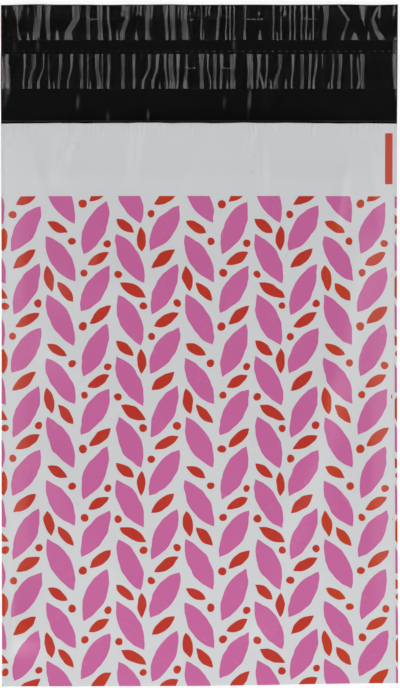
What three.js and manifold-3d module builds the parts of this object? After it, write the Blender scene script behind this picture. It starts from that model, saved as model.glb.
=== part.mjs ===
// Poly mailer bag lying empty on its back with the flap laid open.
// One web of film is folded once at the bottom and welded to itself along both sides.
// The back panel runs on past the mouth as a flap with two covered glue stripes and a tear line.
// Millimetres. +X runs along the mouth, +Y from the bottom fold to the flap, +Z up out of the front panel.
import * as THREE from "three";
import { mergeVertices } from "three/addons/utils/BufferGeometryUtils.js";
import Module from "manifold-3d";

// Web of film
const BAG_WIDTH = 240;
const POUCH_DEPTH = 341;
const FILM_GAUGE = 0.06;

// Bands of the flap, from the mouth out to its free edge
const PLAIN_BAND = 21.2;
const LINER_WIDTH = 21;
const RETURN_LINER_TO_TEAR = 1.7;
const TEAR_TO_SHIP_LINER = 6.8;
const SHIP_LINER_TO_EDGE = 0.5;

// Side welds
const WELD_WIDTH = 1.6;
const WELD_ROOT = 1.2;
const BEAD_WIDTH = 0.6;
const BEAD_HEIGHT = 0.3;

// Slack of the empty pouch, as heights of the front panel over the floor
const FOLD_HEIGHT = 1.2;
const SHOULDER_HEIGHT = 7.6;
const SHOULDER_FROM_FOLD = 95;
const CROWN_HEIGHT = 9;
const CROWN_FROM_FOLD = 190;
const MOUTH_HEIGHT = 8;
const CROWN_FLATNESS = 3;

// Slits of the tear line
const SLIT_PITCH = 4.43;
const SLIT_LENGTH = 3.1;
const SLIT_WIDTH = 0.25;
const SLIT_EDGE_MARGIN = 2;

// Glue stripes and the release liners over them
const GLUE_WIDTH = 7.4;
const GLUE_GAUGE = 0.08;
const LINER_GAUGE = 0.04;
const LINER_DRY_EDGE = 8.6;
const STRIP_END_MARGIN = 0.5;

// Puckers of the release liners
const PUCKER_PITCH = 7.2;
const PUCKER_WIDTH = 3.4;
const PUCKER_HEIGHT = 0.7;
const SMALLEST_PUCKER = 0.4;
const WANDER_SHARE = 0.45;
const WANDER_TURN = 2.4;
const SIZE_TURN = 1.7;
const RETURN_LINER_TURN = 1.1;

// Facets
const STATIONS_ACROSS = 28;
const STATION_CROWDING = 0.55;
const STEPS_ALONG = 22;
const STEPS_ROUND_FOLD = 6;
const STEPS_OVER_BEAD = 4;
const STEPS_PER_PUCKER = 6;
const CUT_OVERRUN = 1;
const SAME_POINT = 1e-4;

// Places worked out from the sizes above
const TEAR_FROM_MOUTH = PLAIN_BAND + LINER_WIDTH + RETURN_LINER_TO_TEAR;
const FLAP_LENGTH = TEAR_FROM_MOUTH + TEAR_TO_SHIP_LINER + LINER_WIDTH + SHIP_LINER_TO_EDGE;
const FOLD_Y = -(POUCH_DEPTH + FLAP_LENGTH) / 2;
const MOUTH_Y = FOLD_Y + POUCH_DEPTH;
const FLAP_EDGE_Y = MOUTH_Y + FLAP_LENGTH;
const TEAR_Y = MOUTH_Y + TEAR_FROM_MOUTH;
const RETURN_LINER_Y = MOUTH_Y + PLAIN_BAND;
const SHIP_LINER_Y = TEAR_Y + TEAR_TO_SHIP_LINER;
const STRIP_END = BAG_WIDTH / 2 - STRIP_END_MARGIN;
const CAVITY_HALF = BAG_WIDTH / 2 - WELD_WIDTH;
const WELDED_GAUGE = 2 * FILM_GAUGE;

const wasm = await Module();
wasm.setup();

// A closed geometry as a solid that can be joined and cut
function solidOf(geometry) {
  const bare = geometry.clone();
  bare.deleteAttribute("normal");
  bare.deleteAttribute("uv");
  const merged = mergeVertices(bare, SAME_POINT);
  return new wasm.Manifold(
    new wasm.Mesh({
      numProp: 3,
      vertProperties: new Float32Array(merged.attributes.position.array),
      triVerts: new Uint32Array(merged.index.array),
    }),
  );
}

// A solid back as a geometry with flat facets
function geometryOf(solid) {
  const mesh = solid.getMesh();
  const indexed = new THREE.BufferGeometry();
  indexed.setAttribute("position", new THREE.BufferAttribute(mesh.vertProperties, 3));
  indexed.setIndex(new THREE.BufferAttribute(mesh.triVerts, 1));
  const facets = indexed.toNonIndexed();
  facets.computeVertexNormals();
  return facets;
}

// A block between two corners
function block(low, high) {
  const size = high.clone().sub(low);
  const middle = low.clone().add(high).multiplyScalar(0.5);
  return new THREE.BoxGeometry(size.x, size.y, size.z).translate(middle.x, middle.y, middle.z);
}

// A section drawn in (y, z), carried along X between two ends
function alongX(section, fromX, toX) {
  const bar = new THREE.ExtrudeGeometry(section, { depth: toX - fromX, bevelEnabled: false });
  const turn = new THREE.Matrix4().makeBasis(
    new THREE.Vector3(0, 1, 0),
    new THREE.Vector3(0, 0, 1),
    new THREE.Vector3(1, 0, 0),
  );
  return bar.applyMatrix4(turn).translate(fromX, 0, 0);
}

// A section drawn in (x, z), carried along Y between two ends
function alongY(section, fromY, toY) {
  const bar = new THREE.ExtrudeGeometry(section, { depth: toY - fromY, bevelEnabled: false });
  return bar.rotateX(Math.PI / 2).translate(0, toY, 0);
}

// A solid lofted along X through rings of equal length, each a closed loop, anticlockwise seen from +X
function loft(rings) {
  const length = rings[0].length;
  const index = [];
  for (let r = 0; r < rings.length - 1; r += 1) {
    for (let k = 0; k < length; k += 1) {
      const a = r * length + k;
      const b = r * length + ((k + 1) % length);
      index.push(a, b, a + length);
      index.push(b, b + length, a + length);
    }
  }
  const capOf = (ring) => {
    const outline = ring.map((p) => new THREE.Vector2(p.y, p.z));
    return THREE.ShapeUtils.triangulateShape(outline, []);
  };
  for (const [a, b, c] of capOf(rings[0])) {
    index.push(a, c, b);
  }
  const lastRing = (rings.length - 1) * length;
  for (const [a, b, c] of capOf(rings[rings.length - 1])) {
    index.push(lastRing + a, lastRing + b, lastRing + c);
  }
  const positions = rings.flat().flatMap((p) => [p.x, p.y, p.z]);
  const geometry = new THREE.BufferGeometry();
  geometry.setAttribute("position", new THREE.Float32BufferAttribute(positions, 3));
  geometry.setIndex(index);
  return geometry;
}

// The crown of the front panel along the middle of the bag, as (y, height) from the fold to the mouth
const crownLine = new THREE.SplineCurve([
  new THREE.Vector2(FOLD_Y, FOLD_HEIGHT),
  new THREE.Vector2(FOLD_Y + SHOULDER_FROM_FOLD, SHOULDER_HEIGHT),
  new THREE.Vector2(FOLD_Y + CROWN_FROM_FOLD, CROWN_HEIGHT),
  new THREE.Vector2(MOUTH_Y, MOUTH_HEIGHT),
]);

// How far the melted bead along the cut edge stands above the welded layers at x
function beadRise(x) {
  const fromBead = (BAG_WIDTH / 2 - BEAD_WIDTH / 2 - Math.abs(x)) / (BEAD_WIDTH / 2);
  return (BEAD_HEIGHT - WELDED_GAUGE) * Math.sqrt(Math.max(0, 1 - fromBead ** 2));
}

// Height at x where the crown is this high: it falls to the welded layers at the side, and to the bead
function heightAt(x, crown) {
  const fromMiddle = Math.min(1, Math.abs(x) / CAVITY_HALF);
  return WELDED_GAUGE + beadRise(x) + (crown - WELDED_GAUGE) * (1 - fromMiddle ** CROWN_FLATNESS);
}

// Section of the pouch at x: front panel, nose of the fold and back panel, pulled in by inset but for the mouth
function pouchRing(x, inset, mouthY) {
  const noseRadius = heightAt(x, FOLD_HEIGHT) / 2;
  const ring = [new THREE.Vector3(x, mouthY, heightAt(x, MOUTH_HEIGHT) - inset)];
  for (let k = STEPS_ALONG - 1; k > 0; k -= 1) {
    const crown = crownLine.getPoint(k / STEPS_ALONG);
    ring.push(new THREE.Vector3(x, crown.x, heightAt(x, crown.y) - inset));
  }
  for (let k = 0; k <= STEPS_ROUND_FOLD; k += 1) {
    const turn = Math.PI / 2 + (Math.PI * k) / STEPS_ROUND_FOLD;
    const y = FOLD_Y + noseRadius + (noseRadius - inset) * Math.cos(turn);
    const z = noseRadius + (noseRadius - inset) * Math.sin(turn);
    ring.push(new THREE.Vector3(x, y, z));
  }
  ring.push(new THREE.Vector3(x, mouthY, inset));
  return ring;
}

// Places across the bag, closer together towards the welds
function stations(halfWidth) {
  return Array.from({ length: STATIONS_ACROSS + 1 }, (_, k) => {
    const even = (2 * k) / STATIONS_ACROSS - 1;
    const crowded = -Math.cos((Math.PI * k) / STATIONS_ACROSS);
    return halfWidth * (even + STATION_CROWDING * (crowded - even));
  });
}

// Places across one weld bead, outward from the flat of the weld
function beadStations() {
  return Array.from({ length: STEPS_OVER_BEAD }, (_, k) => {
    const turn = (Math.PI * (k + 1)) / STEPS_OVER_BEAD;
    return BAG_WIDTH / 2 - (BEAD_WIDTH / 2) * (1 + Math.cos(turn));
  });
}

// Row of slits that the flap tears along
function tearSlits() {
  const count = Math.floor((BAG_WIDTH - 2 * SLIT_EDGE_MARGIN) / SLIT_PITCH);
  return Array.from({ length: count }, (_, k) => {
    const x = (k - (count - 1) / 2) * SLIT_PITCH;
    const low = new THREE.Vector3(x - SLIT_LENGTH / 2, TEAR_Y - SLIT_WIDTH / 2, -FILM_GAUGE);
    const high = new THREE.Vector3(x + SLIT_LENGTH / 2, TEAR_Y + SLIT_WIDTH / 2, 2 * FILM_GAUGE);
    return solidOf(block(low, high));
  });
}

// The folded and welded web: a pillow hollowed to its gauge and open at the mouth, with its flap
function pouchFilm() {
  const left = beadStations().map((x) => -x);
  const across = [...left.reverse(), ...stations(BAG_WIDTH / 2 - BEAD_WIDTH), ...beadStations()];
  const outside = loft(across.map((x) => pouchRing(x, 0, MOUTH_Y)));
  const cavityStations = stations(CAVITY_HALF - WELD_ROOT);
  const cavity = loft(cavityStations.map((x) => pouchRing(x, FILM_GAUGE, MOUTH_Y + CUT_OVERRUN)));
  const flap = block(
    new THREE.Vector3(-BAG_WIDTH / 2, MOUTH_Y - CUT_OVERRUN, 0),
    new THREE.Vector3(BAG_WIDTH / 2, FLAP_EDGE_Y, FILM_GAUGE),
  );
  const web = solidOf(outside).subtract(solidOf(cavity)).add(solidOf(flap));
  return geometryOf(tearSlits().reduce((film, slit) => film.subtract(slit), web));
}

// Stripe of hot-melt glue with eased edges, laid on the flap under the liner whose lower edge is at linerY
function glueStripe(linerY) {
  const highY = linerY + LINER_WIDTH - LINER_DRY_EDGE;
  const lowY = highY - GLUE_WIDTH;
  const ease = GLUE_GAUGE / 2;
  const section = new THREE.Shape();
  section.moveTo(lowY, FILM_GAUGE);
  section.lineTo(highY, FILM_GAUGE);
  section.lineTo(highY, FILM_GAUGE + ease);
  section.lineTo(highY - ease, FILM_GAUGE + GLUE_GAUGE);
  section.lineTo(lowY + ease, FILM_GAUGE + GLUE_GAUGE);
  section.lineTo(lowY, FILM_GAUGE + ease);
  return alongX(section, -STRIP_END, STRIP_END);
}

// Release film that lies on its glue stripe and rises off it in a train of uneven puckers
function releaseLiner(linerY, turn) {
  const seat = FILM_GAUGE + GLUE_GAUGE;
  const count = Math.floor((2 * STRIP_END) / PUCKER_PITCH) - 1;
  const under = [new THREE.Vector2(-STRIP_END, seat)];
  for (let k = 0; k < count; k += 1) {
    const room = PUCKER_PITCH - PUCKER_WIDTH;
    const wander = WANDER_SHARE * room * Math.sin(WANDER_TURN * k + turn);
    const swing = (1 + Math.sin(SIZE_TURN * k + 2 * turn)) / 2;
    const size = SMALLEST_PUCKER + (1 - SMALLEST_PUCKER) * swing;
    const middle = (k - (count - 1) / 2) * PUCKER_PITCH + wander;
    for (let step = 0; step <= STEPS_PER_PUCKER; step += 1) {
      const along = (2 * step) / STEPS_PER_PUCKER - 1;
      const rise = PUCKER_HEIGHT * size * Math.cos((Math.PI / 2) * along) ** 2;
      under.push(new THREE.Vector2(middle + (PUCKER_WIDTH / 2) * size * along, seat + rise));
    }
  }
  under.push(new THREE.Vector2(STRIP_END, seat));
  const over = under.map((p) => new THREE.Vector2(p.x, p.y + LINER_GAUGE)).reverse();
  return alongY(new THREE.Shape([...under, ...over]), linerY, linerY + LINER_WIDTH);
}

// One named piece with its own finish
function piece(name, geometry, color, roughness) {
  const material = new THREE.MeshStandardMaterial({ color, roughness, metalness: 0 });
  const mesh = new THREE.Mesh(geometry, material);
  mesh.name = name;
  return mesh;
}

const group = new THREE.Group();
group.add(piece("pouch_film", pouchFilm(), 0xcdd0d1, 0.45));
group.add(piece("ship_adhesive", glueStripe(SHIP_LINER_Y), 0xb8b2a4, 0.25));
group.add(piece("return_adhesive", glueStripe(RETURN_LINER_Y), 0xb8b2a4, 0.25));
group.add(piece("ship_liner", releaseLiner(SHIP_LINER_Y, 0), 0xa8a7a8, 0.2));
group.add(piece("return_liner", releaseLiner(RETURN_LINER_Y, RETURN_LINER_TURN), 0xa8a7a8, 0.2));
export default group;
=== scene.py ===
import math

import bmesh
import bpy
import numpy as np
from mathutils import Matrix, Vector


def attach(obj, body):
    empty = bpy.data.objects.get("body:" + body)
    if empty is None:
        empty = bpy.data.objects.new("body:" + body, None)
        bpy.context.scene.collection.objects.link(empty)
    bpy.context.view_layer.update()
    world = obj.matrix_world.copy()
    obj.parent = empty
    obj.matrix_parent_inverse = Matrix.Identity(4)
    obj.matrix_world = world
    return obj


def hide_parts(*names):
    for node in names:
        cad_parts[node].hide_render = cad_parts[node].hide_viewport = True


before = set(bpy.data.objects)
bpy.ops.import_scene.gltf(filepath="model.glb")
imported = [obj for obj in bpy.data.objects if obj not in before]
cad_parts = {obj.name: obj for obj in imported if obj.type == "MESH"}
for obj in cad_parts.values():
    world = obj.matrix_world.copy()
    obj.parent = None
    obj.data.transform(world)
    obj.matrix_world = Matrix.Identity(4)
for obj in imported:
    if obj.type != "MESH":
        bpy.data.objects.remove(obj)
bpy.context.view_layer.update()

# Lengths are millimetres until a mesh is made
MM = 0.001

# Web of film
HALF_WIDTH = 120.0
FOLD_Y = -206.6
MOUTH_Y = 134.4
FLAP_EDGE_Y = 206.6
TEAR_Y = 178.3
GAUGE = 0.06
WELDED = 0.12
CAVITY_HALF = 118.4
CAVITY_END = 117.2
BEAD_WIDTH = 0.6
BEAD_HEIGHT = 0.3
NOSE_STEPS = 5
NOSE_HALF = 1.2
SIDE_STATIONS = (CAVITY_END, CAVITY_HALF, 119.0, 119.4, 119.5, 119.7, 119.9, HALF_WIDTH)
CROWN_POINTS = ((FOLD_Y, 1.2), (FOLD_Y + 95.0, 7.6), (FOLD_Y + 190.0, 9.0), (MOUTH_Y, 8.0))

# Sides of the web as cut, as y, left edge and right edge
CUT_SIDES = (
    (-206.6, -119.7, 120.6), (-178.7, -119.7, 120.55), (-75.6, -119.95, 120.0), (27.5, -119.9, 119.8),
    (106.0, -120.2, 119.85), (140.0, -120.3, 119.95), (206.6, -120.3, 120.4),
)

# How far the fold is out of line at its right and left ends, and how much the cut edges waver
FOLD_SLANT = (1.7, -0.25)
FLAP_EDGE_WAVER = 0.09
MOUTH_WAVER = 0.08

# Slits of the tear line
SLIT_COUNT = 53
SLIT_PITCH = 4.43
SLIT_LENGTH = 3.1
SLIT_EDGE = 0.005
SLIT_OVERLAP = 0.04
SLIT_LIPS = (0.10, 0.46)

# The web's map for baking: margin, width of one face of the film, and place of the second face
ATLAS_MARGIN = 0.008
ATLAS_WIDTH = 0.31
ATLAS_SECOND = 0.335

# Glue stripes and release liners
STRIP_END = 119.5
LINER_WIDTH = 21.0
LINER_GAUGE = 0.04
GLUE_WIDTH = 7.4
GLUE_GAUGE = 0.08
GLUE_EDGE = 0.008
LINER_DRY_EDGE = 8.6
SHIP_LINER_Y = 185.1
RETURN_LINER_Y = 155.6

# Liner mesh: greatest column width, least gap between columns, and the bend beside the glue as a share
COLUMN_WIDTH = 0.6
COLUMN_GAP = 0.02
BEND_SHARE = 0.014

# Steepness of the puckers in front and behind, and how slack and blistered the film is between them
PUCKER_SLOPES = (0.30, 0.38)
PUCKER_STEEP = (2.6, 5.0)
BENT_SLOPE = 0.33
LINER_SLACK = 0.05
BLISTER_HEIGHT = 0.12

# Fine grooves that run along the wide puckers
GROOVE_HALF = 0.22
GROOVE_DEPTH = 0.09
GROOVED_FROM = 2.2

# Puckers of a liner, as place at its upper edge, place at its lower edge, and width at both
SHIP_PUCKERS = (
    (-109.8, -111.7, 6.4, -4.2), (-97.4, -98.6, 3.9, 4.6), (-91.6, -91.2, 3.1, 2.3),
    (-74.6, -79.2, 4.6, 4.6), (-67.2, -67.2, 2.3, 2.3), (-60.3, -59.9, 3.1, 3.1),
    (-55.2, -53.7, 1.5, 1.5), (-43.6, -46.7, 3.1, 3.1), (-31.2, -31.1, 3.7, 3.4),
    (-20.0, -19.6, 2.3, 1.5), (-16.1, -15.7, 3.2, 2.8), (-9.5, -8.4, 4.6, 3.9),
    (-4.9, -6.0, 1.3, 0.0), (1.1, 1.1, 1.1, 1.1), (11.4, 10.6, 3.1, 1.5), (16.3, 16.2, 0.9, 0.9),
    (18.6, 18.5, 0.9, 0.9), (21.0, 20.6, 0.9, 0.9), (27.6, 27.6, 1.5, 1.5), (44.7, 44.8, 1.1, 0.9),
    (49.4, 49.5, 1.1, 0.9), (54.9, 54.9, 1.2, 0.9), (57.7, 57.8, 1.1, 0.9), (61.8, 61.8, 1.2, 0.9),
    (64.9, 64.7, 1.1, 1.1), (68.7, 68.7, 1.2, 0.9), (76.4, 75.6, 3.1, 2.5),
    (99.2, 100.8, 4.8, -2.8),
)
RETURN_PUCKERS = (
    (-105.6, -106.3, 1.5, 1.5), (-100.1, -102.5, 3.1, 3.1), (-93.9, -97.4, 1.5, 2.3),
    (-91.2, -90.8, 0.3, 1.5), (-83.7, -85.3, 2.8, 2.8), (-77.1, -79.2, 1.9, 1.5),
    (-71.5, -71.1, 3.1, 2.3), (-67.5, -67.5, 0.8, 0.8), (-62.0, -60.6, 2.8, 3.1),
    (-58.7, -58.7, 0.8, 0.8), (-54.8, -55.2, 2.3, 2.2), (-46.3, -46.2, 2.3, 2.6),
    (-39.4, -39.6, 2.3, 1.9), (-30.1, -34.3, 2.3, 2.2), (-25.4, -28.1, 2.3, 2.2),
    (-20.8, -19.6, 2.3, 1.5), (-17.3, -16.5, 3.1, 4.6), (-12.8, -13.4, 2.8, 1.5),
    (-8.0, -8.4, 1.5, 3.9), (1.3, 1.6, 3.1, 3.1), (5.2, 6.6, 1.5, 1.2), (9.4, 9.4, 2.3, 2.3),
    (13.3, 12.8, 2.3, 1.9), (20.3, 20.3, 3.9, 3.9), (30.7, 30.7, 4.6, 4.6), (36.1, 35.4, 3.1, 1.5),
    (40.8, 40.0, 1.5, 1.5), (48.9, 46.2, 2.3, 3.1), (56.7, 56.1, 2.3, 1.2), (62.1, 62.1, 2.3, 2.3),
    (67.3, 66.5, 1.9, 1.9), (70.8, 69.3, 1.9, 1.9), (74.5, 74.5, 0.8, 0.8), (81.0, 80.3, 1.5, 1.5),
    (85.3, 84.5, 2.3, 2.3), (91.9, 92.4, 1.5, 1.1), (98.8, 99.2, 3.1, 2.3),
)

# Bent puckers, as place and width at the lower edge, both edges of the glue and the upper edge
SHIP_BENT = (
    (86.2, 1.6, 87.6, 1.4, 89.8, 1.5, 84.2, 1.7), (111.2, 4.6, 107.6, 3.0, 104.4, 2.2, 108.4, 0.6),
    (-108.4, 1.6, -109.6, 1.1, -110.6, 0.0, -111.0, 0.0),
)
RETURN_BENT = (
    (39.2, 2.0, 38.0, 1.4, 35.6, 0.9, 36.6, 0.0), (96.0, 1.2, 97.2, 1.2, 96.0, 1.0, 95.4, 1.0),
)

# Flap off the floor: lift at its free edge, its slow wave and its buckles
FLAP_LIFT = 1.25
FLAP_WAVE = 0.45
FLAP_BUCKLE = 0.11

# Ends of the flap that roll up off the floor, as where they start and their slope
LEFT_ROLL = (-112.8, 0.275)
RIGHT_ROLL = (116.8, 0.30)

# Pulls in the film of the flap, as place, lowest and highest y, width of the bright flank and height
FILM_PULLS = (
    (-73.7, 142.0, 153.0, 3.6, 0.70), (-55.5, 135.5, 141.5, 3.4, 0.82), (-31.2, 135.5, 143.5, 3.4, 0.84),
    (15.0, 142.5, 152.5, 3.6, 0.78), (30.2, 146.0, 157.0, 4.2, 0.98), (29.6, 135.5, 147.0, 3.0, 0.62),
    (-98.0, 178.5, 185.5, 3.8, 0.66), (-83.4, 179.0, 185.0, 3.2, 0.50), (-10.6, 178.5, 185.0, 3.4, 0.58),
    (20.8, 178.5, 186.0, 4.0, 0.70), (-112.0, 179.0, 184.0, 3.4, 0.50), (64.0, 136.0, 142.0, 3.4, 0.48),
)

# Short puckers at the lower edge of a liner, as place and width
SHIP_SHORT = (
    (-103.6, 1.6), (-85.8, 2.4), (-49.5, 1.2), (-38.0, 1.6), (2.6, 1.0), (36.4, 2.0),
    (47.2, 1.0), (66.8, 1.2), (94.0, 4.2), (102.4, 1.4),
)
RETURN_SHORT = (
    (-88.0, 0.9), (-66.0, 1.0), (-24.0, 1.0), (17.2, 1.0), (43.5, 1.2), (52.3, 1.4), (78.4, 1.0),
)

# Slack waves of the front panel, as height, seed, shortest and longest wavelength
PANEL_WAVES = ((0.22, 5, 55, 130), (0.05, 6, 22, 44))

# Ripples under the mouth, as height, and how far the lip droops
MOUTH_RIPPLE = 0.18
LIP_DROOP = 0.30

# Soft creases of the front panel, as both ends, half width and height
CREASES = (
    ((-74.3, 134.0), (-84.6, 104.5), 2.6, 1.60),
    ((-84.0, 122.0), (-79.5, 100.0), 2.2, 0.75),
    ((-99.0, 116.0), (-95.0, 96.0), 2.6, 0.50),
    ((-36.0, 134.0), (-40.3, 104.5), 2.1, 1.20),
    ((-8.0, 112.0), (-12.0, 94.0), 2.4, 0.70),
    ((30.7, 136.0), (30.0, 120.0), 2.1, 1.15),
    ((38.0, 118.0), (39.4, 94.0), 2.2, 1.15),
    ((88.0, 104.0), (84.0, 74.0), 2.4, 0.80),
    ((104.0, 110.0), (109.0, 66.0), 2.2, 0.75),
    ((-112.0, 102.5), (-24.0, 101.5), 3.4, 0.62),
    ((-16.0, 101.5), (96.0, 102.5), 3.4, 0.52),
    ((-58.0, 64.0), (-64.0, 44.0), 2.4, 0.70),
    ((-82.0, 37.0), (4.0, 41.0), 8.0, 1.20),
    ((-92.0, 2.0), (-50.0, -34.0), 6.0, 0.75),
    ((101.0, 58.0), (77.5, -26.0), 8.0, 1.45),
    ((77.5, -26.0), (30.0, -172.0), 8.0, 1.75),
    ((-96.0, -66.0), (-40.0, -150.0), 7.0, 1.00),
    ((-20.0, -40.0), (-8.0, -120.0), 4.5, 1.00),
)

# Soft bulges of the front panel, as place, half width, half length (longer upwards) and height
BULGES = (
    (-112.0, -175.0, 13.0, 7.0, 3.2), (106.0, -70.0, 6.0, 20.0, 0.9), (-107.0, 30.0, 5.0, 14.0, 0.8),
    (-104.0, -106.0, 6.0, 14.0, 0.8), (104.0, -156.0, 6.0, 12.0, 0.8),
)

# Generic leaf print: place, turn in degrees, length and width, repeated every TILE
TILE = (84.0, 74.0)
PINK_LEAVES = (
    (0.0, 0.0, 28, 35, 12.8), (21.0, 18.5, -32, 33, 12.4), (42.0, 0.0, 24, 34, 12.8),
    (63.0, 18.5, -27, 35, 12.2), (0.0, 37.0, 32, 33, 12.2), (21.0, 55.5, -25, 35, 12.8),
    (42.0, 37.0, 29, 34, 12.4), (63.0, 55.5, -33, 33, 12.8),
)
RED_LEAVES = (
    (64.0, 0.0, -60, 17, 6.4), (3.0, 17.0, 40, 15, 5.8), (62.0, 37.0, -50, 18, 6.6),
    (82.0, 56.0, 60, 14, 5.6), (24.0, 3.0, -50, 17, 6.4), (23.0, 37.0, -60, 15, 5.8),
    (44.0, 18.0, 60, 18, 6.6), (39.0, 57.0, 50, 14, 5.6), (77.0, 25.0, 10, 16, 6.0),
    (49.0, 49.0, 0, 15, 5.6),
)
RED_DOTS = (
    (7.0, 47.5, 2.3), (14.5, 28.5, 2.3), (55.0, 64.0, 2.3), (35.0, 27.5, 2.3),
    (28.5, 46.0, 2.3), (70.5, 10.0, 2.3), (13.5, 70.0, 2.5), (50.0, 8.5, 2.3),
)
PRINT_TOP_Y = 90.3
PRINT_RIGHT_X = 117.1
NEXT_REPEAT_X = 118.6
NEXT_REPEAT_JUMP = (13.0, 29.0)
EYE_MARK = (112.7, 117.3, 97.6, 128.6)

# Colours, linear
GROUND = (0.605, 0.612, 0.622)
PALE_GROUND = (0.630, 0.637, 0.648)
PINK = (0.535, 0.119, 0.315)
THIN_PINK = (0.60, 0.19, 0.39)
RED = (0.468, 0.031, 0.018)
THIN_RED = (0.55, 0.07, 0.05)
ORANGE_RED = (0.500, 0.043, 0.013)
BLACK_FILM = (0.0032, 0.0032, 0.0033)
WORN_BLACK = (0.0050, 0.0049, 0.0050)
# Pale grey for dust specks on the black film, and for the painted highlights at the slits and the
# painted reflection line above the mouth
DUST_AND_HIGHLIGHT_GREY = (0.12, 0.12, 0.12)
LINER_TINTS = ((0.90, 0.895, 0.90), (0.97, 0.965, 0.97))
GLUE_TINTS = ((0.86, 0.80, 0.70), (0.95, 0.92, 0.86))

# Painted reflection: a pale line across the black film just above the mouth
REFLECTION_LINE_Y = 136.0

# Studio in metres: the floor, and each light's width and length, place and radiance
FLOOR_HALF = 4.0
FLOOR_DROP = 0.0003
FLOOR_COLOUR = (0.93, 0.93, 0.93)
FLOOR_GLOW = 0.8
WHITE = (1.0, 1.0, 1.0)
SIDE_STRIP = (1.05, 3.0)
SIDE_FAR = 2.3
SIDE_ANGLE = math.radians(37)
LEFT_RADIANCE = 1.42
RIGHT_RADIANCE = 1.57
FRONT_PANEL = (0.8, 1.0)
FRONT_PLACE = (0.0, -0.95, 0.8)
FRONT_RADIANCE = 2.35
AIM = (0.0, 0.0, 0.0)

# World: white from the horizon up to the first height, and nearly dark above the second
SKY_FADE = (0.34, 0.86)
ZENITH = 0.03

# Camera in metres: the photo shows 417.3 mm from top to bottom
FRAME_HEIGHT = 0.4173
FRAME_MIDDLE = (0.0004, 0.0008)
SENSOR = 36.0
LENS = 200.0


# Shapes of the film


# Smooth seeded waves about zero, about 1 high, with wavelengths between short and long
def waves(x, y, seed, short, long, count=9):
    made = np.random.default_rng(seed)
    total = np.zeros(np.broadcast(x, y).shape)
    for _ in range(count):
        length = made.uniform(short, long)
        turn = made.uniform(0, 2 * math.pi)
        phase = made.uniform(0, 2 * math.pi)
        along = x * math.cos(turn) + y * math.sin(turn)
        total = total + np.sin(2 * math.pi * along / length + phase)
    return total / math.sqrt(count / 2)


# Smooth step from 0 to 1 between two values
def smooth(low, high, value):
    t = np.clip((value - low) / (high - low), 0.0, 1.0)
    return t * t * (3 - 2 * t)


# Height of the crown of the front panel at y, the same spline as the CAD model
def crown_line():
    points = np.array(CROWN_POINTS)
    last = len(points) - 1
    found = []
    for t in np.linspace(0, 1, 241):
        place = t * last
        k = min(int(place), last - 1)
        f = place - k
        p0 = points[max(k - 1, 0)]
        p1 = points[k]
        p2 = points[k + 1]
        p3 = points[min(k + 2, last)]
        v0 = (p2 - p0) / 2
        v1 = (p3 - p1) / 2
        cube = (2 * p1 - 2 * p2 + v0 + v1) * f ** 3
        square = (-3 * p1 + 3 * p2 - 2 * v0 - v1) * f ** 2
        found.append(cube + square + v0 * f + p1)
    found = np.array(found)
    return found[:, 0], found[:, 1]


CROWN_Y, CROWN_Z = crown_line()


# Height of the front panel's outside where the crown is this high
def height_at(x, crown):
    away = np.abs(x)
    from_bead = (HALF_WIDTH - BEAD_WIDTH / 2 - away) / (BEAD_WIDTH / 2)
    bead = (BEAD_HEIGHT - WELDED) * np.sqrt(np.clip(1 - from_bead ** 2, 0, None))
    share = np.minimum(1.0, away / CAVITY_HALF)
    return WELDED + bead + (crown - WELDED) * (1 - share ** 3)


# Slack waves, creases and mouth ripples of the front panel
def front_relief(x, y):
    room = smooth(CAVITY_HALF - 1, CAVITY_HALF - 26, np.abs(x)) * smooth(FOLD_Y, FOLD_Y + 60, y)
    relief = sum(high * waves(x, y, *made_from) for high, *made_from in PANEL_WAVES)
    for (ax, ay), (bx, by), half, high in CREASES:
        length = math.hypot(bx - ax, by - ay)
        ux = (bx - ax) / length
        uy = (by - ay) / length
        along = (x - ax) * ux + (y - ay) * uy
        off = (y - ay) * ux - (x - ax) * uy
        off = off + 1.2 * np.sin(along / 17.0 + ax)
        ends = smooth(-14, 6, along) * smooth(length + 14, length - 6, along)
        relief = relief + high * ends * np.exp(-0.5 * (off / half) ** 2)
    bulge = 0.0
    for at_x, at_y, half_x, half_y, high in BULGES:
        tall = half_y * np.where(y > at_y, 2.4, 1.0)
        across = (x - at_x) / half_x
        up = (y - at_y) / tall
        bulge = bulge + high * np.exp(-0.5 * across ** 2 - 0.5 * up ** 2)
    off_sides = smooth(CAVITY_HALF - 0.5, CAVITY_HALF - 6, np.abs(x))
    bulge = bulge * off_sides * smooth(FOLD_Y + 4, FOLD_Y + 20, y)
    near_mouth = np.exp(-(MOUTH_Y - y) / 5.5)
    relief = relief + near_mouth * MOUTH_RIPPLE * np.sin(x / 7.3 + 0.4)
    relief = relief - LIP_DROOP * np.exp(-(MOUTH_Y - y) / 0.45)
    return relief * room + bulge


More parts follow.
